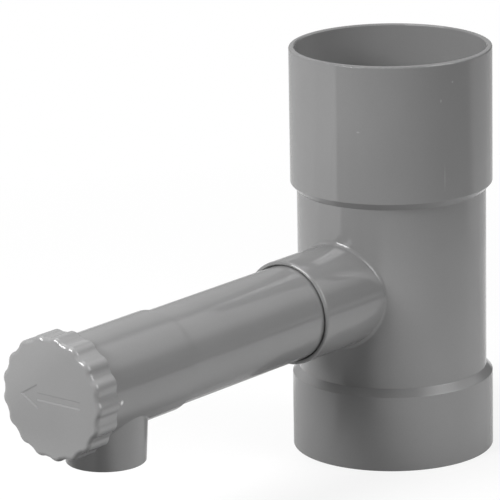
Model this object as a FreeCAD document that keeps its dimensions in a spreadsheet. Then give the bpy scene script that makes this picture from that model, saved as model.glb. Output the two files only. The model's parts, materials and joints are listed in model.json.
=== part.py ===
"""Rainwater diverter for an 80 mm downpipe, in millimetres.

The origin is the centre of the lower socket's mouth, on the downpipe's axis.
+Z goes up the downpipe, and the side arm points along -Y.  The knob is at rest
with its arrow level, pointing to -X, so the scoop inside faces -X too.
"""

import FreeCAD, Part
import math
import os
import Sketcher

# Driving sizes: name, value in millimetres (or degrees, or a count), meaning.
SIZES = (
    ("pipe_radius", "40", "outside of the downpipe, and of the tee between its sockets"),
    ("pipe_play", "0.3", "radial play of a downpipe in its socket"),
    ("socket_wall", "2.45", "wall of the two downpipe sockets"),
    ("tee_wall", "2", "wall of the tee between its sockets"),
    ("lower_socket_depth", "32.3", "depth of the lower socket up to its ledge"),
    ("waist_length", "83.5", "height of the tee between the two ledges"),
    ("upper_socket_depth", "58.2", "depth of the upper socket down to its ledge"),
    ("shoulder_rise", "3.1", "height of the sloping shoulder outside each ledge"),
    ("lead_in", "0.5", "chamfer inside each mouth"),
    ("lower_rim_round", "0.3", "rounding outside the lower socket's rim"),
    ("upper_rim_round", "0.9", "rounding outside the upper socket's rim"),
    ("shoulder_round", "0.7", "rounding outside each shoulder"),
    ("crease_round", "0.5", "rounding where each shoulder meets the tee's wall"),
    ("arm_rise", "41.7", "height of the arm's axis above the lower ledge"),
    ("branch_reach", "72.6", "mouth of the branch socket from the downpipe's axis"),
    ("branch_depth", "28.6", "depth of the branch socket"),
    ("branch_wall", "1.8", "wall of the branch socket"),
    ("mouth_round", "1.2", "rounding outside the branch socket's mouth"),
    ("junction_round", "2", "fillet between the branch and the tee"),
    ("arm_radius", "20", "outside of the arm's tube"),
    ("arm_play", "0.2", "radial play of the arm in the branch socket"),
    ("arm_wall", "2", "wall of the arm"),
    ("arm_reach", "216.4", "outer end of the arm from the downpipe's axis"),
    ("seat_gap", "0.2", "gap where one piece is pushed home against another"),
    ("chamber_length", "60", "length of the wider outer end of the arm"),
    ("chamber_step", "1", "how much wider the chamber is than the tube, on the radius"),
    ("chamber_slope", "0.6", "length of the slope from the tube to the chamber"),
    ("spout_setback", "29.2", "spout's axis from the outer end of the arm"),
    ("spout_drop", "33", "spout's mouth below the arm's axis"),
    ("spout_bore_radius", "14", "bore of the spout, for a hose tail"),
    ("spout_bore_depth", "12", "depth of the spout's bore up to its stop"),
    ("spout_wall", "2", "wall of the spout at its mouth"),
    ("spout_flare", "1.8", "how much wider the spout is at the height of the arm's axis"),
    ("spout_round", "1.5", "fillet between the spout and the chamber"),
    ("tip_round", "0.4", "rounding outside the spout's mouth"),
    ("turn_play", "0.3", "radial play between the turning pieces and the arm"),
    ("end_play", "0.4", "play along the axis between the turning pieces and the arm"),
    ("bead_rise", "0.7", "height of the snap bead round the chamber"),
    ("bead_width", "2", "width of the snap bead"),
    ("lip_width", "2", "width of the knob's snap lip"),
    ("plate_thickness", "2.4", "thickness of the knob's plate"),
    ("knob_depth", "12.2", "depth of the knob from its face to its rear edge"),
    ("skirt_wall", "2.35", "wall of the knob's skirt between its lobes"),
    ("lobe_rise", "1", "height of the lobes above the skirt"),
    ("lobe_radius", "4.4", "radius of each lobe"),
    ("lobe_blend", "4", "fillet between a lobe and the skirt"),
    ("lobe_count", "17", "number of lobes round the knob"),
    ("lobe_angle", "19.6", "turn of the first lobe from +X, in degrees"),
    ("face_round", "2", "rounding of the knob's front edge"),
    ("skirt_round", "0.4", "rounding outside the knob's rear edge"),
    ("arrow_length", "30.6", "length of the arrow in the knob's face"),
    ("arrow_head_length", "8.7", "length of the arrow's head"),
    ("arrow_head_width", "10.2", "width of the arrow's head"),
    ("arrow_shaft_width", "3.4", "width of the arrow's shaft"),
    ("arrow_depth", "0.5", "depth of the arrow"),
    ("arrow_slope", "45", "slope of the arrow's walls away from upright, in degrees"),
    ("hub_length", "8.8", "length of the knob's hub behind its plate"),
    ("hub_wall", "2", "wall of the hub under the seal's groove"),
    ("seal_thickness", "2", "thickness of the sealing ring"),
    ("seal_play", "0.05", "running play of the seal in the chamber and in its groove"),
    ("groove_play", "0.15", "side play of the seal in its groove"),
    ("spigot_length", "5.5", "length of the spigot that carries the scoop tube"),
    ("spigot_play", "0.05", "radial play between the spigot and the scoop tube"),
    ("key_width", "5", "width of the two driving keys"),
    ("key_length", "4", "length of the two driving keys"),
    ("key_play", "0.15", "play round each key in its notch"),
    ("sleeve_wall", "1.8", "wall of the scoop tube's wide outer end"),
    ("tube_wall", "1.7", "wall of the scoop tube"),
    ("sleeve_slope", "2.5", "length of the slope inside, from the tube to the sleeve"),
    ("port_radius", "13", "radius of the port, and of the spout's throat above its stop"),
    ("scoop_clearance", "3.6", "gap between the scoop's tip and the wall of the tee"),
    ("scoop_end_wall", "2", "end wall of the scoop"),
    ("scoop_corner", "3", "slanted corner at the root of the scoop's opening"),
)

# Radii and places worked out from the sheet, in this order.  A reach is a
# distance out along the arm from the downpipe's axis.
PLACES = (
    ("tee_bore", "Sizes.pipe_radius - Sizes.tee_wall"),
    ("socket_bore", "Sizes.pipe_radius + Sizes.pipe_play"),
    ("socket_outside", "Places.socket_bore + Sizes.socket_wall"),
    ("upper_ledge", "Sizes.lower_socket_depth + Sizes.waist_length"),
    ("tee_height", "Places.upper_ledge + Sizes.upper_socket_depth"),
    ("arm_height", "Sizes.lower_socket_depth + Sizes.arm_rise"),
    ("upper_shoulder", "Places.upper_ledge - Sizes.shoulder_rise"),
    ("lower_shoulder", "Sizes.lower_socket_depth + Sizes.shoulder_rise"),
    ("branch_bore", "Sizes.arm_radius + Sizes.arm_play"),
    ("branch_outside", "Places.branch_bore + Sizes.branch_wall"),
    ("branch_ledge", "Sizes.branch_reach - Sizes.branch_depth"),
    ("arm_bore", "Sizes.arm_radius - Sizes.arm_wall"),
    ("arm_inner_end", "Places.branch_ledge + Sizes.seat_gap"),
    ("chamber_outside", "Sizes.arm_radius + Sizes.chamber_step"),
    ("chamber_bore", "Places.arm_bore + Sizes.chamber_step"),
    ("chamber_start", "Sizes.arm_reach - Sizes.chamber_length"),
    ("chamber_floor", "Places.chamber_start + Sizes.arm_wall"),
    ("spout_reach", "Sizes.arm_reach - Sizes.spout_setback"),
    ("spout_tip", "Sizes.spout_bore_radius + Sizes.spout_wall"),
    ("plate_back", "Sizes.arm_reach + Sizes.end_play"),
    ("knob_face", "Places.plate_back + Sizes.plate_thickness"),
    ("knob_rear", "Places.knob_face - Sizes.knob_depth"),
    ("lip_front", "Places.knob_rear + Sizes.lip_width"),
    ("lip_bore", "Places.chamber_outside + Sizes.turn_play"),
    ("bead_rear", "Places.lip_front + Sizes.end_play"),
    ("bead_front", "Places.bead_rear + Sizes.bead_width"),
    ("bead_outside", "Places.chamber_outside + Sizes.bead_rise"),
    ("skirt_bore", "Places.bead_outside + Sizes.turn_play"),
    ("skirt_outside", "Places.skirt_bore + Sizes.skirt_wall"),
    ("lobe_place", "Places.skirt_outside + Sizes.lobe_rise - Sizes.lobe_radius"),
    ("hub_outside", "Places.chamber_bore - Sizes.turn_play"),
    ("hub_end", "Places.plate_back - Sizes.hub_length"),
    ("seal_reach", "Places.plate_back - Sizes.hub_length / 2"),
    ("seal_section", "Sizes.seal_thickness / 2"),
    ("seal_ring", "Places.chamber_bore - Sizes.seal_play - Places.seal_section"),
    ("groove_bottom", "Places.seal_ring - Places.seal_section - Sizes.seal_play"),
    ("groove_front", "Places.seal_reach + Places.seal_section + Sizes.groove_play"),
    ("groove_rear", "Places.seal_reach - Places.seal_section - Sizes.groove_play"),
    ("hub_bore", "Places.groove_bottom - Sizes.hub_wall"),
    ("sleeve_bore", "Places.hub_outside - Sizes.sleeve_wall"),
    ("spigot_outside", "Places.sleeve_bore - Sizes.spigot_play"),
    ("spigot_end", "Places.hub_end - Sizes.spigot_length"),
    ("sleeve_outer_end", "Places.hub_end - Sizes.seat_gap"),
    ("sleeve_inner_end", "Places.chamber_floor + Sizes.end_play"),
    ("tube_outside", "Places.arm_bore - Sizes.turn_play"),
    ("tube_bore", "Places.tube_outside - Sizes.tube_wall"),
    ("scoop_start", "sqrt(Places.tee_bore ^ 2 - Places.tube_outside ^ 2)"),
    ("scoop_tip", "Places.scoop_start - Sizes.scoop_clearance"),
)

ALONG_X = FreeCAD.Vector(1, 0, 0)
ALONG_Y = FreeCAD.Vector(0, 1, 0)
ALONG_Z = FreeCAD.Vector(0, 0, 1)
NEAR = 0.02


def make_sheet(doc):
    """Put the driving sizes in a sheet, each under its own name."""
    sheet = doc.addObject("Spreadsheet::Sheet", "Sizes")
    for row, (alias, value, meaning) in enumerate(SIZES, start=1):
        sheet.set(f"A{row}", meaning)
        sheet.set(f"B{row}", value)
        sheet.setAlias(f"B{row}", alias)
    doc.recompute()
    return sheet


def make_places(doc):
    """Work out the shared radii and places from the sheet."""
    places = doc.addObject("App::VarSet", "Places")
    for name, expression in PLACES:
        places.addProperty("App::PropertyFloat", name)
        places.setExpression(name, expression)
    doc.recompute()
    return places


def minus(expression):
    """The same distance on the arm's side, where Y is negative."""
    return f"-({expression})"


def new_body(doc, label, height="0"):
    """A body whose own Y axis lies at the given height."""
    body = doc.addObject("PartDesign::Body", label)
    body.Label = label
    body.setExpression("Placement.Base.z", height)
    return body


def new_sketch(body, name, plane, shift=()):
    """A sketch on one of the body's planes, moved by (axis, expression) pairs."""
    sketch = body.newObject("Sketcher::SketchObject", name)
    support = [feature for feature in body.Origin.OriginFeatures if feature.Role == plane][0]
    sketch.AttachmentSupport = [(support, "")]
    sketch.MapMode = "FlatFace"
    for axis, expression in shift:
        sketch.setExpression(f"AttachmentOffset.Base.{axis}", expression)
    return sketch


def bind(sketch, kind, geometry, point, expression):
    """Hold one coordinate of a point at a size from the sheet."""
    index = sketch.addConstraint(Sketcher.Constraint(kind, -1, 1, geometry, point, 1.0))
    sketch.setExpression(f"Constraints[{index}]", expression)


def outline(sketch, corners):
    """Close a straight-sided outline through corners given as (across, up)."""
    count = len(corners)
    start = []
    for number in range(count):
        angle = 2 * math.pi * number / count
        start.append(FreeCAD.Vector(math.cos(angle), math.sin(angle), 0))
    for number in range(count):
        sketch.addGeometry(Part.LineSegment(start[number], start[(number + 1) % count]))
    for number in range(count):
        following = (number + 1) % count
        sketch.addConstraint(Sketcher.Constraint("Coincident", number, 2, following, 1))
    for number, (across, up) in enumerate(corners):
        bind(sketch, "DistanceX", number, 1, across)
        bind(sketch, "DistanceY", number, 1, up)
    return sketch


def disc(sketch, across, up, radius):
    """Draw one circle with its centre at (across, up)."""
    sketch.addGeometry(Part.Circle(FreeCAD.Vector(0, 0, 0), ALONG_Z, 1.0))
    bind(sketch, "DistanceX", 0, 3, across)
    bind(sketch, "DistanceY", 0, 3, up)
    index = sketch.addConstraint(Sketcher.Constraint("Radius", 0, 1.0))
    sketch.setExpression(f"Constraints[{index}]", radius)
    return sketch


def turned(body, kind, name, sketch, axis):
    """Revolve a sketch a full turn, adding or cutting by kind."""
    feature = body.newObject(f"PartDesign::{kind}", name)
    feature.Profile = sketch
    feature.ReferenceAxis = (sketch, [axis])
    feature.Angle = 360
    body.Document.recompute()
    return feature


def straight(body, kind, name, sketch, length, backwards=False, both_ways=False):
    """Pad or pocket a sketch along its own normal."""
    feature = body.newObject(f"PartDesign::{kind}", name)
    feature.Profile = sketch
    feature.setExpression("Length", length)
    feature.Reversed = backwards
    feature.Midplane = both_ways
    body.Document.recompute()
    return feature


def rounded(body, name, radius, chosen):
    """Fillet the edges of the body so far that the test picks out."""
    body.Document.recompute()
    base = body.Tip
    edges = base.Shape.Edges
    names = [f"Edge{number}" for number, edge in enumerate(edges, start=1) if chosen(edge)]
    if not names:
        raise ValueError(f"{name} finds no edge to round")
    fillet = body.newObject("PartDesign::Fillet", name)
    fillet.Base = (base, names)
    fillet.setExpression("Radius", radius)
    body.Document.recompute()
    return fillet


def rings(axis, radius, *heights):
    """A test for full circles of one radius about an axis, at given heights along it."""
    def matches(edge):
        curve = edge.Curve
        if not isinstance(curve, Part.Circle) or not edge.isClosed():
            return False
        if abs(abs(curve.Axis.dot(axis)) - 1) > NEAR or abs(curve.Radius - radius) > NEAR:
            return False
        return any(abs(curve.Center.dot(axis) - height) < NEAR for height in heights)

    return matches


def make_tee_body(doc, sheet, places):
    """The tee: two downpipe sockets, and a branch socket for the arm."""
    body = new_body(doc, "tee_body")

    outside = outline(new_sketch(body, "TeeOutside", "XZ_Plane"), (
        ("0", "0"),
        ("Places.socket_outside", "0"),
        ("Places.socket_outside", "Sizes.lower_socket_depth"),
        ("Sizes.pipe_radius", "Places.lower_shoulder"),
        ("Sizes.pipe_radius", "Places.upper_shoulder"),
        ("Places.socket_outside", "Places.upper_ledge"),
        ("Places.socket_outside", "Places.tee_height"),
        ("0", "Places.tee_height"),
    ))
    turned(body, "Revolution", "TeeCasting", outside, "V_Axis")

    branch = disc(new_sketch(body, "BranchCircle", "XZ_Plane"),
                  "0", "Places.arm_height", "Places.branch_outside")
    straight(body, "Pad", "Branch", branch, "Sizes.branch_reach")

    def meets_tee(edge):
        box = edge.BoundBox
        inside_mouth = box.YMin > -sheet.get("branch_reach") + NEAR
        on_branch = abs(box.XMax - places.branch_outside) < NEAR
        return inside_mouth and on_branch and box.YMax < 0 and box.ZLength > places.branch_outside

    rounded(body, "Junction", "Sizes.junction_round", meets_tee)

    wide = places.socket_outside
    narrow = sheet.get("pipe_radius")
    rounded(body, "LowerRim", "Sizes.lower_rim_round", rings(ALONG_Z, wide, 0))
    rounded(body, "UpperRim", "Sizes.upper_rim_round",
            rings(ALONG_Z, wide, places.tee_height))
    rounded(body, "Shoulders", "Sizes.shoulder_round",
            rings(ALONG_Z, wide, sheet.get("lower_socket_depth"), places.upper_ledge))
    rounded(body, "Creases", "Sizes.crease_round",
            rings(ALONG_Z, narrow, places.lower_shoulder, places.upper_shoulder))
    rounded(body, "BranchMouth", "Sizes.mouth_round",
            rings(ALONG_Y, places.branch_outside, -sheet.get("branch_reach")))

    waterway = outline(new_sketch(body, "Waterway", "XZ_Plane"), (
        ("0", "0"),
        ("Places.socket_bore + Sizes.lead_in", "0"),
        ("Places.socket_bore", "Sizes.lead_in"),
        ("Places.socket_bore", "Sizes.lower_socket_depth"),
        ("Places.tee_bore", "Sizes.lower_socket_depth"),
        ("Places.tee_bore", "Places.upper_ledge"),
        ("Places.socket_bore", "Places.upper_ledge"),
        ("Places.socket_bore", "Places.tee_height - Sizes.lead_in"),
        ("Places.socket_bore + Sizes.lead_in", "Places.tee_height"),
        ("0", "Places.tee_height"),
    ))
    turned(body, "Groove", "WaterwayCut", waterway, "V_Axis")

    socket = new_sketch(body, "BranchSocket", "YZ_Plane", (("y", "Places.arm_height"),))
    outline(socket, (
        (minus("Sizes.branch_reach"), "0"),
        (minus("Sizes.branch_reach"), "Places.branch_bore + Sizes.lead_in"),
        (minus("Sizes.branch_reach - Sizes.lead_in"), "Places.branch_bore"),
        (minus("Places.branch_ledge"), "Places.branch_bore"),
        (minus("Places.branch_ledge"), "Places.arm_bore"),
        ("0", "Places.arm_bore"),
        ("0", "0"),
    ))
    turned(body, "Groove", "BranchCut", socket, "H_Axis")
    return body


def make_outlet_arm(doc, sheet, places):
    """The arm: a tube, a wider chamber, a spout under it and a snap bead."""
    body = new_body(doc, "outlet_arm", "Places.arm_height")

    outside = outline(new_sketch(body, "ArmOutside", "YZ_Plane"), (
        (minus("Places.arm_inner_end"), "0"),
        (minus("Places.arm_inner_end"), "Sizes.arm_radius"),
        (minus("Places.chamber_start - Sizes.chamber_slope"), "Sizes.arm_radius"),
        (minus("Places.chamber_start"), "Places.chamber_outside"),
        (minus("Places.bead_rear"), "Places.chamber_outside"),
        (minus("Places.bead_rear + Sizes.bead_rise"), "Places.bead_outside"),
        (minus("Places.bead_front - Sizes.bead_rise"), "Places.bead_outside"),
        (minus("Places.bead_front"), "Places.chamber_outside"),
        (minus("Sizes.arm_reach"), "Places.chamber_outside"),
        (minus("Sizes.arm_reach"), "0"),
    ))
    turned(body, "Revolution", "ArmTube", outside, "H_Axis")

    at_spout = (("x", minus("Places.spout_reach")),)
    spout = outline(new_sketch(body, "SpoutOutside", "YZ_Plane", at_spout), (
        ("0", minus("Sizes.spout_drop")),
        ("Places.spout_tip", minus("Sizes.spout_drop")),
        ("Places.spout_tip + Sizes.spout_flare", "0"),
        ("0", "0"),
    ))
    turned(body, "Revolution", "Spout", spout, "V_Axis")

    def meets_chamber(edge):
        box = edge.BoundBox
        middle = (box.YMin + box.YMax) / 2
        near_spout = abs(middle + places.spout_reach) < sheet.get("spout_wall")
        below = box.ZMax < 0 and box.ZMin > -sheet.get("spout_drop") + NEAR
        return near_spout and below and box.XLength > places.spout_tip

    rounded(body, "SpoutJunction", "Sizes.spout_round", meets_chamber)
    rounded(body, "SpoutTip", "Sizes.tip_round",
            rings(ALONG_Z, places.spout_tip, -sheet.get("spout_drop")))

    inside = outline(new_sketch(body, "ArmInside", "YZ_Plane"), (
        (minus("Places.arm_inner_end"), "0"),
        (minus("Places.arm_inner_end"), "Places.arm_bore"),
        (minus("Places.chamber_floor"), "Places.arm_bore"),
        (minus("Places.chamber_floor"), "Places.chamber_bore"),
        (minus("Sizes.arm_reach - Sizes.lead_in"), "Places.chamber_bore"),
        (minus("Sizes.arm_reach"), "Places.chamber_bore + Sizes.lead_in"),
        (minus("Sizes.arm_reach"), "0"),
    ))
    turned(body, "Groove", "ArmBore", inside, "H_Axis")

    stop_drop = "Sizes.spout_drop - Sizes.spout_bore_depth"
    outlet = outline(new_sketch(body, "SpoutInside", "YZ_Plane", at_spout), (
        ("0", minus("Sizes.spout_drop")),
        ("Sizes.spout_bore_radius", minus("Sizes.spout_drop")),
        ("Sizes.spout_bore_radius", minus(stop_drop)),
        ("Sizes.port_radius", minus(stop_drop)),
        ("Sizes.port_radius", "0"),
        ("0", "0"),
    ))
    turned(body, "Groove", "SpoutBore", outlet, "V_Axis")
    return body


def make_scoop_tube(doc, sheet, places):
    """The turning tube: a sleeve with a port, a long tube, and an open scoop."""
    body = new_body(doc, "scoop_tube", "Places.arm_height")

    wall = outline(new_sketch(body, "TubeWall", "YZ_Plane"), (
        (minus("Places.sleeve_outer_end"), "Places.sleeve_bore"),
        (minus("Places.sleeve_outer_end"), "Places.hub_outside"),
        (minus("Places.sleeve_inner_end"), "Places.hub_outside"),
        (minus("Places.sleeve_inner_end"), "Places.tube_outside"),
        ("Places.scoop_tip", "Places.tube_outside"),
        ("Places.scoop_tip", "0"),
        ("Places.scoop_tip - Sizes.scoop_end_wall", "0"),
        ("Places.scoop_tip - Sizes.scoop_end_wall", "Places.tube_bore"),
        (minus("Places.sleeve_inner_end"), "Places.tube_bore"),
        (minus("Places.sleeve_inner_end + Sizes.sleeve_slope"), "Places.sleeve_bore"),
    ))
    turned(body, "Revolution", "Tube", wall, "H_Axis")

    opening = outline(new_sketch(body, "ScoopOpening", "XY_Plane"), (
        (minus("Places.hub_outside"), minus("Places.scoop_start")),
        (minus("Sizes.scoop_corner"), minus("Places.scoop_start")),
        ("0", minus("Places.scoop_start - Sizes.scoop_corner")),
        ("0", "Places.tee_bore"),
        (minus("Places.hub_outside"), "Places.tee_bore"),
    ))
    straight(body, "Pocket", "ScoopCut", opening, "2 * Places.hub_outside", both_ways=True)

    port = disc(new_sketch(body, "PortCircle", "YZ_Plane"),
                minus("Places.spout_reach"), "0", "Sizes.port_radius")
    straight(body, "Pocket", "Port", port, "Places.hub_outside", backwards=True)

    half_notch = "(Sizes.key_width / 2 + Sizes.key_play)"
    notch_end = "Places.hub_end - Sizes.key_length - Sizes.key_play"
    notches = outline(new_sketch(body, "KeyNotches", "XY_Plane"), (
        (minus("Places.hub_outside"), minus("Places.hub_end")),
        ("Places.hub_outside", minus("Places.hub_end")),
        ("Places.hub_outside", minus(notch_end)),
        (minus("Places.hub_outside"), minus(notch_end)),
    ))
    straight(body, "Pocket", "Notches", notches, f"2 * {half_notch}", both_ways=True)
    return body


def make_control_knob(doc, sheet, places):
    """The knob: a lobed cap with a sunk arrow, and a hub with two keys."""
    body = new_body(doc, "control_knob", "Places.arm_height")

    at_rear = (("z", "Places.knob_rear"),)
    base = disc(new_sketch(body, "CapCircle", "XZ_Plane", at_rear),
                "0", "0", "Places.skirt_outside")
    straight(body, "Pad", "Cap", base, "Sizes.knob_depth")

    lobe = disc(new_sketch(body, "LobeCircle", "XZ_Plane", at_rear),
                "Places.lobe_place * cos(Sizes.lobe_angle * 1 deg)",
                "Places.lobe_place * sin(Sizes.lobe_angle * 1 deg)",
                "Sizes.lobe_radius")
    first = straight(body, "Pad", "Lobe", lobe, "Sizes.knob_depth")
    lobes = body.newObject("PartDesign::PolarPattern", "Lobes")
    lobes.Originals = [first]
    lobes.Axis = (lobe, ["N_Axis"])
    lobes.Angle = 360
    lobes.setExpression("Occurrences", "Sizes.lobe_count")
    body.Tip = lobes

    def is_flank(edge):
        straight_edge = isinstance(edge.Curve, Part.Line) and edge.Length > NEAR
        return straight_edge and abs(abs(edge.tangentAt(edge.FirstParameter).y) - 1) < NEAR

    rounded(body, "LobeBlends", "Sizes.lobe_blend", is_flank)
    rounded(body, "FaceRim", "Sizes.face_round",
            lambda edge: edge.BoundBox.YMax < -places.knob_face + NEAR)
    rounded(body, "SkirtRim", "Sizes.skirt_round",
            lambda edge: edge.BoundBox.YMin > -places.knob_rear - NEAR)

    hollow = outline(new_sketch(body, "CapInside", "YZ_Plane"), (
        (minus("Places.knob_rear"), "0"),
        (minus("Places.knob_rear"), "Places.lip_bore"),
        (minus("Places.lip_front"), "Places.lip_bore"),
        (minus("Places.lip_front"), "Places.skirt_bore"),
        (minus("Places.plate_back"), "Places.skirt_bore"),
        (minus("Places.plate_back"), "0"),
    ))
    turned(body, "Groove", "CapHollow", hollow, "H_Axis")

    hub = outline(new_sketch(body, "HubWall", "YZ_Plane"), (
        (minus("Places.plate_back"), "Places.hub_bore"),
        (minus("Places.plate_back"), "Places.hub_outside"),
        (minus("Places.groove_front"), "Places.hub_outside"),
        (minus("Places.groove_front"), "Places.groove_bottom"),
        (minus("Places.groove_rear"), "Places.groove_bottom"),
        (minus("Places.groove_rear"), "Places.hub_outside"),
        (minus("Places.hub_end"), "Places.hub_outside"),
        (minus("Places.hub_end"), "Places.spigot_outside"),
        (minus("Places.spigot_end"), "Places.spigot_outside"),
        (minus("Places.spigot_end"), "Places.hub_bore"),
    ))
    turned(body, "Revolution", "Hub", hub, "H_Axis")

    key_root = "((Places.hub_bore + Places.spigot_outside) / 2)"
    key_top = "(Places.hub_outside - Sizes.turn_play)"
    key_end = "(Places.hub_end - Sizes.key_length)"
    for side, sign in (("Left", "-1"), ("Right", "1")):
        key = outline(new_sketch(body, f"{side}KeySide", "XY_Plane"), (
            (f"{sign} * {key_root}", minus("Places.hub_end")),
            (f"{sign} * {key_top}", minus("Places.hub_end")),
            (f"{sign} * {key_top}", minus(key_end)),
            (f"{sign} * {key_root}", minus(key_end)),
        ))
        straight(body, "Pad", f"{side}Key", key, "Sizes.key_width", both_ways=True)

    half_length = "(Sizes.arrow_length / 2)"
    neck = f"(Sizes.arrow_head_length - {half_length})"
    half_head = "(Sizes.arrow_head_width / 2)"
    half_shaft = "(Sizes.arrow_shaft_width / 2)"
    arrow = outline(new_sketch(body, "ArrowOutline", "XZ_Plane", (("z", "Places.knob_face"),)), (
        (minus(half_length), "0"),
        (neck, half_head),
        (neck, half_shaft),
        (half_length, half_shaft),
        (half_length, minus(half_shaft)),
        (neck, minus(half_shaft)),
        (neck, minus(half_head)),
    ))
    sunk = straight(body, "Pocket", "Arrow", arrow, "Sizes.arrow_depth")
    sunk.setExpression("TaperAngle", "-Sizes.arrow_slope")
    return body


def make_knob_seal(doc, sheet, places):
    """The rubber ring in the hub's groove."""
    ring = doc.addObject("Part::Torus", "knob_seal")
    ring.Label = "knob_seal"
    ring.setExpression("Radius1", "Places.seal_ring")
    ring.setExpression("Radius2", "Places.seal_section")
    ring.Placement = FreeCAD.Placement(FreeCAD.Vector(0, 0, 0), FreeCAD.Rotation(ALONG_X, 90))
    ring.setExpression("Placement.Base.y", minus("Places.seal_reach"))
    ring.setExpression("Placement.Base.z", "Places.arm_height")
    doc.recompute()
    return ring


def check(doc, bodies):
    """Stop if any object failed or any piece is not one valid solid."""
    for item in doc.Objects:
        if "Invalid" in item.State or "Error" in item.State:
            raise ValueError(f"{item.Name} is {item.State}")
    for body in bodies:
        shape = body.Shape
        if shape.isNull() or not shape.isValid() or len(shape.Solids) != 1:
            raise ValueError(f"{body.Label} has no valid solid")


MAKERS = (make_tee_body, make_outlet_arm, make_scoop_tube, make_control_knob, make_knob_seal)


def main():
    """Build each piece and write it to its own file."""
    doc = FreeCAD.newDocument("Diverter")
    sheet = make_sheet(doc)
    places = make_places(doc)
    pieces = []
    for make in MAKERS:
        pieces.append(make(doc, sheet, places))
    doc.recompute()
    check(doc, pieces)
    os.makedirs("parts", exist_ok=True)
    for piece in pieces:
        piece.Shape.exportStep(f"parts/{piece.Label}.step")
        print(piece.Label, round(piece.Shape.Volume), "mm3")


main()
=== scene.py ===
"""Rainwater diverter: its finishes, its mould marks and a small studio.

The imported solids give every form.  Each is welded into one clean skin, shaded by the true curve of
its walls, and finished as moulded grey PVC or black rubber.  All lengths are in metres.
"""

import json
import logging
import math
from dataclasses import dataclass, field
from enum import Enum

import bmesh
import bpy
from mathutils import Matrix, Vector


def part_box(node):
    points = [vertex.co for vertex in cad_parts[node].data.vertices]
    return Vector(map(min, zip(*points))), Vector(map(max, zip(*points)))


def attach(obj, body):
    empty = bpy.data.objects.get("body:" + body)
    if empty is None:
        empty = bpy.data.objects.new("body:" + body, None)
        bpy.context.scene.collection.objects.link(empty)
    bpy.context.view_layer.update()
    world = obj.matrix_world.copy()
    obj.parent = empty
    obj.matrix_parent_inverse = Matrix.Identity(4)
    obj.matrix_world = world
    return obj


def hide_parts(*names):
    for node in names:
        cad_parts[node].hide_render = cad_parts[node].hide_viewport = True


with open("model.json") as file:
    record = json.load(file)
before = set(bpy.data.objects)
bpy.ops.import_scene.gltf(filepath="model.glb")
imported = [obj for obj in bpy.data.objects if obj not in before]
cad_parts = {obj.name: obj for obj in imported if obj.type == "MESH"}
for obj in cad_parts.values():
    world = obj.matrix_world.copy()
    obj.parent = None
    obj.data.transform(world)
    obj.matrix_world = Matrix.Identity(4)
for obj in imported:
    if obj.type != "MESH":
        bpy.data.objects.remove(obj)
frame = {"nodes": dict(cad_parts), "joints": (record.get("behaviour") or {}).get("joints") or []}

LOG = logging.getLogger("diverter")

WELD = 1e-6  # Points closer than this become one.
ON_WALL = 6e-5  # A point this close to a true wall lies on it.
SAME_WALL = math.cos(math.radians(12))  # A face turned less than this from a wall is part of it.
SMOOTH_LIMIT = math.cos(math.radians(35))  # Faces turned less than this apart shade as one.
REFRACTION = 1.5  # The refractive index of PVC and of rubber.

UP = Vector((0, 0, 1))
WHITE = (1, 1, 1, 1)


class Streaks(Enum):
    """Where the mould has left streaks."""

    NONE = "nowhere"
    ALONG_BARREL = "along the arm, all round it"


@dataclass(frozen=True)
class RoundWall:
    """A round wall about an axis, straight or tapered.

    Attributes:
        foot: A point on the axis.
        axis: The axis, as a unit vector.
        radius: The wall's radius at the foot.
        taper: How much the radius grows for each metre along the axis.
    """

    foot: Vector
    axis: Vector
    radius: float
    taper: float = 0.0

    def normal_at(self, point: Vector) -> Vector | None:
        """Find the wall's normal at a point.

        Args:
            point: A place in the part's frame.

        Returns:
            The unit normal away from the axis, or None where the point isn't on the wall.
        """
        offset = point - self.foot
        height = offset.dot(self.axis)
        across = offset - height * self.axis
        if abs(across.length - self.radius - self.taper * height) > ON_WALL:
            return None
        return (across.normalized() - self.taper * self.axis).normalized()


@dataclass(frozen=True)
class ArmAxis:
    """The axis of the arm, which the knob turns about.

    Attributes:
        middle: The middle of the knob, on the axis.
        way: The axis, as a unit vector.
    """

    middle: Vector = field(default_factory=lambda: Vector(frame["joints"][0]["pos_m"]))
    way: Vector = field(default_factory=lambda: Vector(frame["joints"][0]["axis"]))

    def wall(self, radius: float) -> RoundWall:
        """Describe a wall about this axis.

        Args:
            radius: The wall's radius.

        Returns:
            The round wall.
        """
        return RoundWall(self.middle, self.way, radius)


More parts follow.
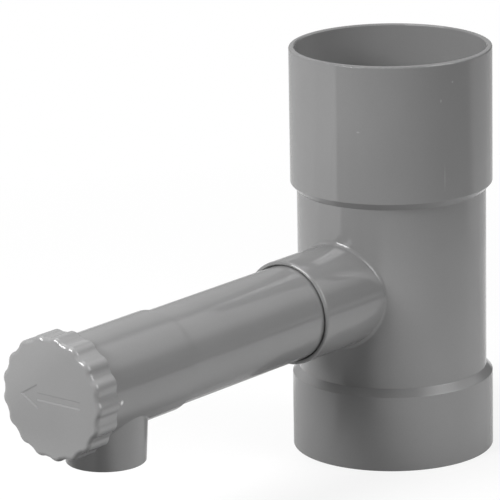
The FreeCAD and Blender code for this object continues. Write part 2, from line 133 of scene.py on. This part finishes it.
class Graph:
    """Adds and joins the shader nodes of one material or world."""

    def __init__(self, owner: bpy.types.Material | bpy.types.World) -> None:
        """Clear the owner's nodes and give it an output.

        Args:
            owner: The material or world.
        """
        owner.use_nodes = True
        self.owner = owner
        self.tree = owner.node_tree
        self.tree.nodes.clear()
        kind = "World" if isinstance(owner, bpy.types.World) else "Material"
        self.output = self.tree.nodes.new("ShaderNodeOutput" + kind)

    @classmethod
    def material(cls, name: str) -> "Graph":
        """Start a new material.

        Args:
            name: The material's name.

        Returns:
            Its empty graph.
        """
        return cls(bpy.data.materials.new(name))

    def finish(self, shader: bpy.types.Node) -> bpy.types.Material | bpy.types.World:
        """Join the last shader to the output.

        Args:
            shader: The shader that shows.

        Returns:
            The material or world.
        """
        self.tree.links.new(shader.outputs[0], self.output.inputs["Surface"])
        return self.owner

    def add(self, kind: str, settings: dict[str, object] | None = None,
            **inputs: object) -> bpy.types.Node:
        """Add a node.

        Args:
            kind: The node's type, without the leading ShaderNode.
            settings: The node's own properties.
            **inputs: Values or sockets for its inputs, by name with _ for a space, or as in0, in1.

        Returns:
            The new node.
        """
        node = self.tree.nodes.new("ShaderNode" + kind)
        for name, value in (settings or {}).items():
            setattr(node, name, value)
        for name, value in inputs.items():
            numbered = name.startswith("in") and name[2:].isdigit()
            socket = node.inputs[int(name[2:])] if numbered else node.inputs[name.replace("_", " ")]
            if isinstance(value, bpy.types.NodeSocket):
                self.tree.links.new(value, socket)
            else:
                socket.default_value = value
        return node

    def math(self, operation: str, *values: object) -> bpy.types.NodeSocket:
        """Work out one number from up to three.

        Args:
            operation: Blender's name for the operation.
            *values: Numbers or sockets.

        Returns:
            The result's socket.
        """
        inputs = {f"in{number}": value for number, value in enumerate(values)}
        return self.add("Math", {"operation": operation}, **inputs).outputs[0]

    def noise(self, place: bpy.types.NodeSocket, scale: float,
              detail: float = 2.0) -> bpy.types.NodeSocket:
        """Add a noise pattern.

        Args:
            place: The coordinates that it follows.
            scale: Its waves for each metre.
            detail: How many finer layers it has.

        Returns:
            The socket that runs from 0 to 1.
        """
        node = self.add("TexNoise", Vector=place, Scale=scale, Detail=detail)
        return node.outputs["Fac"]

    def spread(self, value: bpy.types.NodeSocket, low: float, high: float,
               start: float = 0.3, end: float = 0.7) -> bpy.types.NodeSocket:
        """Map a pattern onto a range.

        Args:
            value: The pattern.
            low: What it gives at or under start.
            high: What it gives at or over end.
            start: The pattern's low end.
            end: The pattern's high end.

        Returns:
            The mapped socket.
        """
        node = self.add("MapRange", Value=value, From_Min=start, From_Max=end,
                        To_Min=low, To_Max=high)
        return node.outputs["Result"]

    def length(self, vector: bpy.types.NodeSocket) -> bpy.types.NodeSocket:
        """Measure a vector.

        Args:
            vector: The vector's socket.

        Returns:
            The socket of its length.
        """
        return self.add("VectorMath", {"operation": "LENGTH"}, in0=vector).outputs["Value"]

    def grey(self, tone: bpy.types.NodeSocket) -> bpy.types.NodeSocket:
        """Make a grey of one tone.

        Args:
            tone: Its brightness, on a linear scale.

        Returns:
            The colour's socket.
        """
        return self.add("CombineColor", in0=tone, in1=tone, in2=tone).outputs[0]

    def bump(self, pattern: bpy.types.NodeSocket, height: float,
             below: bpy.types.NodeSocket | None = None) -> bpy.types.NodeSocket:
        """Raise a pattern on the surface.

        Args:
            pattern: The pattern.
            height: How high it rises, in metres.
            below: The relief that it lies on, where there is one.

        Returns:
            The socket of the normal.
        """
        node = self.add("Bump", Strength=1.0, Distance=height, Height=pattern)
        if below is not None:
            self.tree.links.new(below, node.inputs["Normal"])
        return node.outputs["Normal"]

    def mix(self, share: bpy.types.NodeSocket, first: bpy.types.Node,
            second: bpy.types.Node) -> bpy.types.Node:
        """Mix two shaders.

        Args:
            share: The second shader's share, from 0 to 1.
            first: The first shader.
            second: The second shader.

        Returns:
            The mixed shader.
        """
        return self.add("MixShader", in0=share, in1=first.outputs[0], in2=second.outputs[0])


@dataclass(frozen=True)
class ScuffAndGlintMark:
    """A small pale mark where the plastic is scuffed, or at full strength a painted glint.

    Attributes:
        middle: Its middle, in the part's frame.
        reach: Half its size along each axis.
        strength: How far it takes the colour towards the pale grey of scuffs and painted glints.
        CORE: The share of its reach inside which it is at full strength.
    """

    middle: tuple[float, float, float]
    reach: tuple[float, float, float]
    strength: float

    CORE = 0.3

    def mask(self, graph: Graph, place: bpy.types.NodeSocket) -> bpy.types.NodeSocket:
        """Work out how strongly a place is marked.

        Args:
            graph: The material's nodes.
            place: The place, in metres.

        Returns:
            A socket from 0 to the mark's strength.
        """
        shift = graph.add("VectorMath", {"operation": "SUBTRACT"}, in0=place, in1=self.middle)
        stretch = tuple(1 / reach for reach in self.reach)
        unit = graph.add("VectorMath", {"operation": "MULTIPLY"}, in0=shift.outputs[0], in1=stretch)
        away = graph.length(unit.outputs[0])
        return graph.spread(away, self.strength, 0.0, self.CORE, 1.0)


@dataclass(frozen=True)
class MouldedPlastic:
    """Grey PVC with a satin gloss, as it leaves the mould.

    Every SCALE is a pattern's waves for each metre.  The DEPTHs are how far cloud and speckle move
    the brightness, as a share, and gloss the roughness.  The HEIGHTs are in metres.

    Attributes:
        name: The material's name.
        grey: Its brightness, on a linear scale.
        roughness: Its middle roughness.
        streaks: Where its streaks run.
        scuffs_and_glints: The scuffs and painted glints on it.
    """

    name: str
    grey: float = 0.20
    roughness: float = 0.09
    streaks: Streaks = Streaks.NONE
    scuffs_and_glints: tuple[ScuffAndGlintMark, ...] = ()

    CLOUD_SCALE = 22.0
    CLOUD_DEPTH = 0.035
    SPECKLE_SCALE = 1500.0
    SPECKLE_DEPTH = 0.015
    GLOSS_SCALE = 66.0
    GLOSS_DEPTH = 0.03
    PEEL_SCALE = 260.0
    PEEL_HEIGHT = 1.0e-5
    GRAIN_SCALE = 2600.0
    GRAIN_HEIGHT = 1.2e-6
    STREAK_SCALE = 420.0
    STREAK_HEIGHT = 8.0e-6
    STREAK_SQUASH = 0.02
    BARREL_RADIUS = 0.02
    # Scuffed plastic lightens to this grey, and the painted glints take it at full strength.
    SCUFF_AND_GLINT_GREY = 0.6
    SCUFF_AND_GLINT_ROUGHNESS = 0.2

    def unrolled(self, graph: Graph, own: bpy.types.NodeSocket) -> bpy.types.NodeSocket:
        """Unroll the arm's surface and squash it along the arm, so that patterns become streaks.

        Args:
            graph: The material's nodes.
            own: The piece's own coordinates.

        Returns:
            A socket of coordinates in metres.
        """
        parts = graph.add("SeparateXYZ", Vector=own)
        drop = graph.math("SUBTRACT", parts.outputs["Z"], ArmAxis().middle.z)
        angle = graph.math("ARCTAN2", drop, parts.outputs["X"])
        girth = graph.math("MULTIPLY", angle, self.BARREL_RADIUS)
        along = graph.math("MULTIPLY", parts.outputs["Y"], self.STREAK_SQUASH)
        return graph.add("CombineXYZ", X=girth, Y=along).outputs["Vector"]

    def rubbing(self, graph: Graph,
                own: bpy.types.NodeSocket) -> bpy.types.NodeSocket | float:
        """Give the mask of the scuffs and painted glints.

        Args:
            graph: The material's nodes.
            own: The piece's own coordinates.

        Returns:
            A socket from 0 to 1, or 0 where there are no marks.
        """
        total = 0.0
        for scuff_or_glint in self.scuffs_and_glints:
            total = graph.math("MAXIMUM", total, scuff_or_glint.mask(graph, own))
        return total

    def relief(self, graph: Graph, own: bpy.types.NodeSocket) -> bpy.types.NodeSocket:
        """Raise the mould's faint peel and grain, and the streaks where there are any.

        Args:
            graph: The material's nodes.
            own: The piece's own coordinates.

        Returns:
            The socket of the normal.
        """
        normal = graph.bump(graph.noise(own, self.PEEL_SCALE, 1.0), self.PEEL_HEIGHT)
        normal = graph.bump(graph.noise(own, self.GRAIN_SCALE, 1.0), self.GRAIN_HEIGHT, normal)
        if self.streaks is Streaks.ALONG_BARREL:
            streak = graph.noise(self.unrolled(graph, own), self.STREAK_SCALE)
            normal = graph.bump(streak, self.STREAK_HEIGHT, normal)
        return normal

    def build(self) -> bpy.types.Material:
        """Make the material.

        Returns:
            The finished material.
        """
        graph = Graph.material(self.name)
        own = graph.add("TexCoord").outputs["Object"]
        cloud = graph.spread(graph.noise(own, self.CLOUD_SCALE, 3.0),
                             1 - self.CLOUD_DEPTH, 1 + self.CLOUD_DEPTH)
        speckle = graph.spread(graph.noise(own, self.SPECKLE_SCALE),
                               1 - self.SPECKLE_DEPTH, 1 + self.SPECKLE_DEPTH)
        tone = graph.math("MULTIPLY", graph.math("MULTIPLY", cloud, speckle), self.grey)
        gloss = graph.spread(graph.noise(own, self.GLOSS_SCALE, 4.0),
                             self.roughness - self.GLOSS_DEPTH, self.roughness + self.GLOSS_DEPTH)
        scuff_and_glint = self.rubbing(graph, own)
        mixed = graph.add("Mix", {"data_type": "FLOAT"}, in0=scuff_and_glint, in2=tone, in3=self.SCUFF_AND_GLINT_GREY)
        rough = graph.math("ADD", gloss, graph.math("MULTIPLY", scuff_and_glint, self.SCUFF_AND_GLINT_ROUGHNESS))
        shader = graph.add("BsdfPrincipled", Base_Color=graph.grey(mixed.outputs[0]),
                           Roughness=rough, IOR=REFRACTION, Normal=self.relief(graph, own))
        return graph.finish(shader)


@dataclass(frozen=True)
class BlackRubber:
    """Soft black rubber with a faint bloom.

    Attributes:
        name: The material's name.
        clean: Its brightness where it has no bloom, on a linear scale.
        bloomed: Its brightness where it has bloomed.
        smoothest: Its least roughness.
        roughest: Its greatest roughness.
    """

    name: str = "seal_black_rubber"
    clean: float = 0.014
    bloomed: float = 0.032
    smoothest: float = 0.5
    roughest: float = 0.68

    BLOOM_SCALE = 180.0
    GLOSS_SCALE = 420.0
    GRAIN_SCALE = 900.0
    GRAIN_HEIGHT = 1.5e-5

    def build(self) -> bpy.types.Material:
        """Make the material.

        Returns:
            The finished material.
        """
        graph = Graph.material(self.name)
        own = graph.add("TexCoord").outputs["Object"]
        bloom = graph.spread(graph.noise(own, self.BLOOM_SCALE, 4.0), self.clean, self.bloomed)
        gloss = graph.noise(own, self.GLOSS_SCALE, 3.0)
        rough = graph.spread(gloss, self.smoothest, self.roughest)
        normal = graph.bump(graph.noise(own, self.GRAIN_SCALE, 3.0), self.GRAIN_HEIGHT)
        shader = graph.add("BsdfPrincipled", Base_Color=graph.grey(bloom), Roughness=rough,
                           IOR=REFRACTION, Normal=normal)
        return graph.finish(shader)


@dataclass
class Skin:
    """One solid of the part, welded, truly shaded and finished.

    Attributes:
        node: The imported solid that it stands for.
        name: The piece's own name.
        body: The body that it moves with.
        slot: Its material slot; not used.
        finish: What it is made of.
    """

    node: str
    name: str
    body: str
    slot: str
    finish: MouldedPlastic | BlackRubber

    def walls(self) -> list[RoundWall]:
        """List the true round walls of the piece."""
        return []

    def weld(self) -> bpy.types.Mesh:
        """Copy the solid's mesh and join its loose triangles.

        Returns:
            A closed mesh with smooth faces.
        """
        shell = bmesh.new()
        shell.from_mesh(frame["nodes"][self.node].data)
        bmesh.ops.remove_doubles(shell, verts=shell.verts, dist=WELD)
        bmesh.ops.dissolve_degenerate(shell, dist=WELD, edges=shell.edges)
        mesh = bpy.data.meshes.new(self.name)
        shell.to_mesh(mesh)
        shell.free()
        mesh.polygons.foreach_set("use_smooth", [True] * len(mesh.polygons))
        return mesh

    def shade(self, mesh: bpy.types.Mesh) -> None:
        """Give each corner of each face the normal of the surface that it stands for.

        Args:
            mesh: The welded mesh.
        """
        around: dict[int, list[tuple[Vector, float]]] = {}
        for face in mesh.polygons:
            for vertex, weight in zip(face.vertices, self.corner_weights(mesh, face)):
                around.setdefault(vertex, []).append((face.normal, weight))
        walls = self.walls()
        on_walls = {}
        for vertex in mesh.vertices:
            found = [wall.normal_at(vertex.co) for wall in walls]
            on_walls[vertex.index] = [normal for normal in found if normal is not None]
        normals = []
        for face in mesh.polygons:
            eased = self.eased(face)
            for vertex in face.vertices:
                normals.append(eased or self.true_normal(
                    face.normal, on_walls[vertex], around[vertex]))
        mesh.normals_split_custom_set(normals)

    def eased(self, face: bpy.types.MeshPolygon) -> Vector | None:
        """Give a normal of its own to a face that shades apart from its surface.

        Args:
            face: One face of the welded mesh.

        Returns:
            The normal, or None where the face shades as its surface does.
        """
        return None

    @staticmethod
    def corner_weights(mesh: bpy.types.Mesh, face: bpy.types.MeshPolygon) -> list[float]:
        """Weigh a face at each of its corners by its area and the corner's angle.

        Args:
            mesh: The welded mesh.
            face: One face of it.

        Returns:
            One weight for each corner, in order.
        """
        points = [mesh.vertices[index].co for index in face.vertices]
        weights = []
        for number, point in enumerate(points):
            before = points[number - 1] - point
            after = points[(number + 1) % len(points)] - point
            weights.append(face.area * before.angle(after, 0.0))
        return weights

    @staticmethod
    def true_normal(facing: Vector, on_walls: list[Vector],
                    around: list[tuple[Vector, float]]) -> Vector:
        """Choose the normal of one corner.

        Args:
            facing: The face's own normal.
            on_walls: The normals of the round walls that the corner lies on.
            around: The normal and weight of each face at the corner.

        Returns:
            The wall's normal where the face lies on one, or else the smooth mean of its neighbours.
        """
        for normal in on_walls:
            agreement = normal.dot(facing)
            if abs(agreement) > SAME_WALL:
                return normal if agreement > 0 else -normal
        total = Vector((0, 0, 0))
        for normal, weight in around:
            if normal.dot(facing) > SMOOTH_LIMIT:
                total += normal * weight
        return total.normalized() if total.length > 0 else facing

    def build(self) -> bpy.types.Object:
        """Make the piece, dress it and fasten it to its body.

        Returns:
            The finished object.
        """
        mesh = self.weld()
        self.shade(mesh)
        piece = bpy.data.objects.new(self.name, mesh)
        bpy.context.scene.collection.objects.link(piece)
        mesh.materials.append(self.finish.build())
        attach(piece, self.body)
        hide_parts(self.node)
        return piece


@dataclass
class Tee(Skin):
    """The tee with its two downpipe sockets and its branch.

    Attributes:
        waist_radius: The outside of the plain middle.
        waist_bore: The inside of the plain middle.
        socket_bore: The inside of both sockets.
        branch_radius: The outside of the branch.
        branch_bore: The inside of the branch, where the arm is pushed in.
        tube_bore: The hole in the tee's wall that the turning tube passes.
    """

    node: str = "tee_body"
    name: str = "tee_skin"
    body: str = "fixed_pipework"
    slot: str = "tee_plastic"
    finish: MouldedPlastic = field(default_factory=lambda: MouldedPlastic(
        "tee_grey_pvc",
        scuffs_and_glints=(
            ScuffAndGlintMark((0.0411, -0.0119, 0.1657), (0.0006, 0.0006, 0.0006), 0.22),
            ScuffAndGlintMark((0.0391, -0.0173, 0.1584), (0.0005, 0.0005, 0.0009), 0.19),
            ScuffAndGlintMark((0.0137, -0.0405, 0.1462), (0.0009, 0.0009, 0.0005), 0.19),
            ScuffAndGlintMark((0.0398, -0.0157, 0.1255), (0.0003, 0.0003, 0.0070), 0.14),
        ),
    ))
    waist_radius: float = 0.040
    waist_bore: float = 0.038
    socket_bore: float = 0.0403
    branch_radius: float = 0.022
    branch_bore: float = 0.0202
    tube_bore: float = 0.018

    def walls(self) -> list[RoundWall]:
        """List the walls about the downpipe's axis and the branch's."""
        foot = Vector((0, 0, 0))
        socket_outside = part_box(self.node)[1].x
        about_pipe = (socket_outside, self.waist_radius, self.waist_bore, self.socket_bore)
        about_arm = (self.branch_radius, self.branch_bore, self.tube_bore)
        arm = ArmAxis()
        return ([RoundWall(foot, UP, radius) for radius in about_pipe]
                + [arm.wall(radius) for radius in about_arm])


@dataclass
class OutletArm(Skin):
    """The tube with its wider chamber and its spout.

    Attributes:
        tube_radius: The tube's outside.
        tube_bore: The tube's inside.
        chamber_radius: The chamber's outside.
        chamber_bore: The chamber's inside.
        spout_reach: How far the spout's axis is from the downpipe's.
        spout_tip_radius: The spout's outside at its mouth.
        spout_taper: How much that radius grows for each metre upwards.
        spout_bore: The spout's inside at its mouth.
        throat: The spout's inside above the stop.
    """

    node: str = "outlet_arm"
    name: str = "arm_skin"
    body: str = "fixed_pipework"
    slot: str = "arm_plastic"
    finish: MouldedPlastic = field(default_factory=lambda: MouldedPlastic(
        "arm_grey_pvc", streaks=Streaks.ALONG_BARREL,
        # A painted glint: a bright fleck at full strength where the arm meets the knob's rear edge.
        scuffs_and_glints=(ScuffAndGlintMark((0.0209, -0.2008, 0.0718), (0.0012, 0.0011, 0.0012), 1.0),)))
    tube_radius: float = 0.020
    tube_bore: float = 0.018
    chamber_radius: float = 0.021
    chamber_bore: float = 0.019
    spout_reach: float = 0.1872
    spout_tip_radius: float = 0.016
    spout_taper: float = 0.0018 / 0.033
    spout_bore: float = 0.014
    throat: float = 0.013

    def walls(self) -> list[RoundWall]:
        """List the walls about the arm's axis and the spout's."""
        about_arm = (self.tube_radius, self.tube_bore, self.chamber_radius, self.chamber_bore)
        arm = ArmAxis()
        mouth = Vector((0, -self.spout_reach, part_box(self.node)[0].z))
        return [arm.wall(radius) for radius in about_arm] + [
            RoundWall(mouth, UP, self.spout_tip_radius, self.spout_taper),
            RoundWall(mouth, UP, self.spout_bore),
            RoundWall(mouth, UP, self.throat),
        ]


@dataclass
class ScoopTube(Skin):
    """The turning tube with its scoop and its port.

    Attributes:
        tube_radius: The tube's outside.
        tube_bore: The tube's inside.
        sleeve_radius: The outside of the wider end that takes the knob's spigot.
        sleeve_bore: The inside of that end.
    """

    node: str = "scoop_tube"
    name: str = "scoop_skin"
    body: str = "turning_scoop"
    slot: str = "scoop_plastic"
    finish: MouldedPlastic = field(default_factory=lambda: MouldedPlastic(
        "scoop_grey_pvc", streaks=Streaks.ALONG_BARREL))
    tube_radius: float = 0.0177
    tube_bore: float = 0.016
    sleeve_radius: float = 0.0187
    sleeve_bore: float = 0.0169

    def walls(self) -> list[RoundWall]:
        """List the walls about the arm's axis."""
        arm = ArmAxis()
        radii = (self.tube_radius, self.tube_bore, self.sleeve_radius, self.sleeve_bore)
        return [arm.wall(radius) for radius in radii]


@dataclass
class ControlKnob(Skin):
    """The lobed knob with its sunk arrow.

    Attributes:
        face_reach: How far the face is from the downpipe's axis.
        arrow_reach: The arrow's walls are nearer to the knob's axis than this.
        arrow_depth: The middles of its walls are less deep than this.
        least_slope: The least cosine between a wall of the arrow and the face.
        most_slope: The greatest cosine between a wall of the arrow and the face.
        ease_above: How far the walls that look down are eased towards the face.
        ease_below: How far the other walls are eased.
    """

    node: str = "control_knob"
    name: str = "knob_skin"
    body: str = "turning_scoop"
    slot: str = "knob_plastic"
    finish: MouldedPlastic = field(default_factory=lambda: MouldedPlastic(
        # The knob's grey is lighter than the other mouldings' so that its face looks brighter:
        # painted light.
        "knob_grey_pvc", grey=0.235, roughness=0.11,
        # A painted glint: a bright fleck at full strength on the rear edge of the knob's skirt.
        scuffs_and_glints=(ScuffAndGlintMark((0.0262, -0.2070, 0.0745), (0.0014, 0.0010, 0.0011), 1.0),)))
    face_reach: float = 0.2192
    arrow_reach: float = 0.0165
    arrow_depth: float = 0.0006
    least_slope: float = 0.3
    most_slope: float = 0.95
    ease_above: float = 0.56
    ease_below: float = 0.38

    def eased(self, face: bpy.types.MeshPolygon) -> Vector | None:
        """Ease the sloping walls of the arrow towards the knob's face.

        Args:
            face: One face of the welded mesh.

        Returns:
            The normal of a wall of the arrow, or None elsewhere.
        """
        front = Vector((0, -1, 0))
        away = face.center - ArmAxis().middle
        across = math.hypot(away.x, away.z)
        sunk = face.center.y + self.face_reach
        slopes = self.least_slope < face.normal.dot(front) < self.most_slope
        if slopes and across < self.arrow_reach and sunk < self.arrow_depth:
            ease = self.ease_above if face.normal.z < 0 else self.ease_below
            return face.normal.lerp(front, ease).normalized()
        return None


@dataclass
class KnobSeal(Skin):
    """The rubber ring behind the knob."""

    node: str = "knob_seal"
    name: str = "seal_skin"
    body: str = "turning_scoop"
    slot: str = "seal_rubber"
    finish: BlackRubber = field(default_factory=BlackRubber)


@dataclass(frozen=True)
class SoftBox:
    """A rectangular lamp that faces the part.

    Attributes:
        name: The lamp's name.
        azimuth: Where it stands round the part, in degrees from +X.
        elevation: How high it stands, in degrees.
        distance: How far it is from the part's middle.
        width: Its width.
        height: Its height.
        power: Its power in watts.
    """

    name: str
    azimuth: float
    elevation: float
    distance: float
    width: float
    height: float
    power: float

    def build(self, middle: Vector) -> bpy.types.Object:
        """Make the lamp.

        Args:
            middle: The point that it faces.

        Returns:
            The lamp's object.
        """
        turn = math.radians(self.azimuth)
        lift = math.radians(self.elevation)
        level = math.cos(lift)
        away = Vector((math.cos(turn) * level, math.sin(turn) * level, math.sin(lift)))
        data = bpy.data.lights.new(self.name, "AREA")
        data.shape = "RECTANGLE"
        data.size = self.width
        data.size_y = self.height
        data.energy = self.power
        lamp = bpy.data.objects.new(self.name, data)
        bpy.context.scene.collection.objects.link(lamp)
        lamp.location = middle + away * self.distance
        lamp.rotation_euler = away.to_track_quat("Z", "Y").to_euler()
        lamp.visible_camera = False
        return lamp


@dataclass(frozen=True)
class Glow:
    """A soft bright part of the surroundings, far away.

    Attributes:
        azimuth: The middle's place round the part, in degrees from +X.
        elevation: The middle's height, in degrees.
        half_width: Half its width, in degrees of azimuth.
        half_height: Half its height, in degrees.
        softness: How wide its edges fade, in degrees.
        strength: Its brightness.
    """

    azimuth: float
    elevation: float
    half_width: float
    half_height: float
    softness: float
    strength: float

    def brightness(self, graph: Graph, turn: bpy.types.NodeSocket,
                   lift: bpy.types.NodeSocket) -> bpy.types.NodeSocket:
        """Work out the glow for a direction.

        Args:
            graph: The world's nodes.
            turn: The direction's azimuth, in radians.
            lift: The direction's elevation, in radians.

        Returns:
            A socket of its brightness.
        """
        off = graph.math("SUBTRACT", turn, math.radians(self.azimuth))
        across = graph.math("ABSOLUTE", graph.math("WRAP", off, math.pi, -math.pi))
        up = graph.math("ABSOLUTE", graph.math("SUBTRACT", lift, math.radians(self.elevation)))
        fade = math.radians(self.softness) / 2
        wide = math.radians(self.half_width)
        tall = math.radians(self.half_height)
        sideways = graph.spread(across, self.strength, 0.0, wide - fade, wide + fade)
        upwards = graph.spread(up, 1.0, 0.0, tall - fade, tall + fade)
        return graph.math("MULTIPLY", sideways, upwards)


@dataclass(frozen=True)
class PaintedLightSheet:
    """Paper on the floor that begins at a straight edge, its tones painted light and painted shadow.

    Attributes:
        foot: A point on the edge.
        azimuth: The way from the edge into the paper, in degrees from +X.
        fade: Half the width of the edge's fade.
        near: The paper's colour close to the part, on a linear scale.
        far: The paper's colour farther out.
        start: How far from the part the colour begins to change.
        end: How far from the part the change ends.
    """

    foot: Vector
    azimuth: float
    fade: float
    near: float
    far: float
    start: float
    end: float

    def tone(self, graph: Graph, place: bpy.types.NodeSocket) -> bpy.types.NodeSocket:
        """Work out the paper's colour at a place.

        Args:
            graph: The floor's nodes.
            place: The place, in metres.

        Returns:
            A socket of the colour, 0 outside the edge.
        """
        turn = math.radians(self.azimuth)
        into = Vector((math.cos(turn), math.sin(turn), 0))
        across = graph.add("VectorMath", {"operation": "DOT_PRODUCT"}, in0=place, in1=into)
        edge = self.foot.dot(into)
        inside = graph.spread(across.outputs["Value"], 0.0, 1.0, edge - self.fade, edge + self.fade)
        colour = graph.spread(graph.length(place), self.near, self.far, self.start, self.end)
        return graph.math("MULTIPLY", inside, colour)


@dataclass
class Studio:
    """The pale floor, the lamps, the surroundings and the camera.

    Attributes:
        middle: The point that the lamps face.
        floor_radius: The floor's radius.
        floor_segments: The sides of its outline.
        lens: The camera's focal length, in millimetres.
        sensor: The width of its sensor, in millimetres.
        camera_place: Where the camera stands.
        camera_yaw: How far it is turned about the upright, in degrees.
        camera_pitch: How far it looks down, in degrees.
        camera_roll: How far it is rolled, in degrees.
        lamps: The lamps.
        glows: The bright parts of the surroundings.
        dim_sky: The brightness of the surroundings between the glows.
        painted_light_sheets: The papers of painted light and painted shadow on the floor.
        bare_floor: The floor's colour beside the painted papers, on a linear scale.
        seen_floor: The floor's colour where the camera sees it.
        fibre_scale: The waves of the paper's fibres for each metre.
        fibre_depth: How much they darken the paper, as a share.
        white_near: How much of the seen floor is plain white close to the part.
        white_far: How much of it is plain white farther out.
        white_start: How far from the part that share begins to change.
        white_end: How far from the part the change ends.
    """

    middle: Vector = field(default_factory=lambda: Vector((0, -0.09, 0.08)))
    floor_radius: float = 6.0
    floor_segments: int = 96
    lens: float = 304.0
    sensor: float = 36.0
    camera_place: Vector = field(default_factory=lambda: Vector((1.04565, -1.37718, 0.56102)))
    camera_yaw: float = 39.204
    camera_pitch: float = 15.375
    camera_roll: float = -0.996
    lamps: tuple[SoftBox, ...] = (
        SoftBox("key_box", -107, 36, 0.8, 0.42, 0.35, 8.2),
        SoftBox("top_box", 170, 75, 1.2, 0.7, 0.6, 3),
    )
    glows: tuple[Glow, ...] = (
        Glow(15, 34, 22, 17, 24, 5.6),
        Glow(160, 0, 50, 12, 14, 0.42),
        Glow(150, 26, 45, 14, 12, 0.55),
        Glow(70, 40, 28, 16, 12, 1.0),
        Glow(0, 90, 200, 20, 20, 0.7),
    )
    dim_sky: float = 0.02
    # Painted light and shade on the floor: lit patches, painted pools of light close to the part,
    # and painted shadow where the first sheet darkens towards it.
    painted_light_sheets: tuple[PaintedLightSheet, ...] = (
        PaintedLightSheet(Vector((0.02, 0, 0)), 153.5, 0.01, 0.5, 0.58, 0.08, 0.35),
        PaintedLightSheet(Vector((-0.03, -0.19, 0)), -150.0, 0.02, 0.45, 0.1, 0.34, 0.39),
        PaintedLightSheet(Vector((0, -0.1, 0)), 30.0, 0.04, 0.8, 0.05, 0.32, 0.48),
        PaintedLightSheet(Vector((0, 0.06, 0)), 132.0, 0.05, 0.7, 0.7, 0.1, 0.2),
    )
    bare_floor: float = 0.125
    seen_floor: float = 0.85
    fibre_scale: float = 300.0
    fibre_depth: float = 0.02
    white_near: float = 0.8
    white_far: float = 1.0
    white_start: float = 0.2
    white_end: float = 0.5

    def floor_paper(self) -> bpy.types.Material:
        """Make the floor: white with a soft shadow to the camera, papers of painted light and shade
        to the part.

        Returns:
            The finished material.
        """
        graph = Graph.material("floor_paper")
        own = graph.add("TexCoord").outputs["Object"]
        seen = graph.add("LightPath").outputs["Is Camera Ray"]
        tone = graph.math("MAXIMUM", graph.math("MULTIPLY", seen, self.seen_floor), self.bare_floor)
        for sheet in self.painted_light_sheets:
            tone = graph.math("MAXIMUM", tone, sheet.tone(graph, own))
        fibre = graph.spread(graph.noise(own, self.fibre_scale, 3.0), 1 - self.fibre_depth, 1.0)
        matt = graph.add("BsdfDiffuse", Color=graph.grey(graph.math("MULTIPLY", tone, fibre)))
        white = graph.add("Emission", Color=WHITE, Strength=1.0)
        share = graph.spread(graph.length(own), self.white_near, self.white_far,
                             self.white_start, self.white_end)
        return graph.finish(graph.mix(graph.math("MULTIPLY", share, seen), matt, white))

    def build_floor(self) -> None:
        """Lay the floor at the height of the lower socket's mouth."""
        sheet = bmesh.new()
        bmesh.ops.create_circle(sheet, cap_ends=True, segments=self.floor_segments,
                                radius=self.floor_radius)
        mesh = bpy.data.meshes.new("floor")
        sheet.to_mesh(mesh)
        sheet.free()
        mesh.materials.append(self.floor_paper())
        floor = bpy.data.objects.new("floor", mesh)
        bpy.context.scene.collection.objects.link(floor)

    def build_world(self) -> None:
        """Surround the part with soft glows, and with white where the camera looks."""
        world = bpy.data.worlds.new("surroundings")
        bpy.context.scene.world = world
        graph = Graph(world)
        towards = graph.add("SeparateXYZ", Vector=graph.add("TexCoord").outputs["Generated"])
        turn = graph.math("ARCTAN2", towards.outputs["Y"], towards.outputs["X"])
        lift = graph.math("ARCSINE", towards.outputs["Z"])
        total = self.dim_sky
        for glow in self.glows:
            total = graph.math("ADD", total, glow.brightness(graph, turn, lift))
        lit = graph.add("Background", Color=WHITE, Strength=total)
        white = graph.add("Background", Color=WHITE, Strength=1.0)
        seen = graph.add("LightPath").outputs["Is Camera Ray"]
        graph.finish(graph.mix(seen, lit, white))

    def build_camera(self) -> None:
        """Place the camera where the photograph was taken from."""
        data = bpy.data.cameras.new("camera")
        data.lens = self.lens
        data.sensor_width = self.sensor
        camera = bpy.data.objects.new("camera", data)
        bpy.context.scene.collection.objects.link(camera)
        camera.matrix_world = (
            Matrix.Translation(self.camera_place)
            @ Matrix.Rotation(math.radians(self.camera_yaw), 4, "Z")
            @ Matrix.Rotation(math.radians(90 - self.camera_pitch), 4, "X")
            @ Matrix.Rotation(math.radians(self.camera_roll), 4, "Z")
        )
        bpy.context.scene.camera = camera

    def build(self) -> None:
        """Set the whole studio up."""
        self.build_floor()
        self.build_world()
        for lamp in self.lamps:
            lamp.build(self.middle)
        self.build_camera()
        bpy.context.scene.view_settings.view_transform = "Standard"


def main() -> None:
    """Build every piece in order, then the studio."""
    logging.basicConfig(level=logging.INFO, format="%(message)s")
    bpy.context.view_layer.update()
    for skin in (Tee(), OutletArm(), ScoopTube(), ControlKnob(), KnobSeal()):
        piece = skin.build()
        LOG.info("%s: %d faces", piece.name, len(piece.data.polygons))
    Studio().build()


if __name__ == "__main__":
    main()
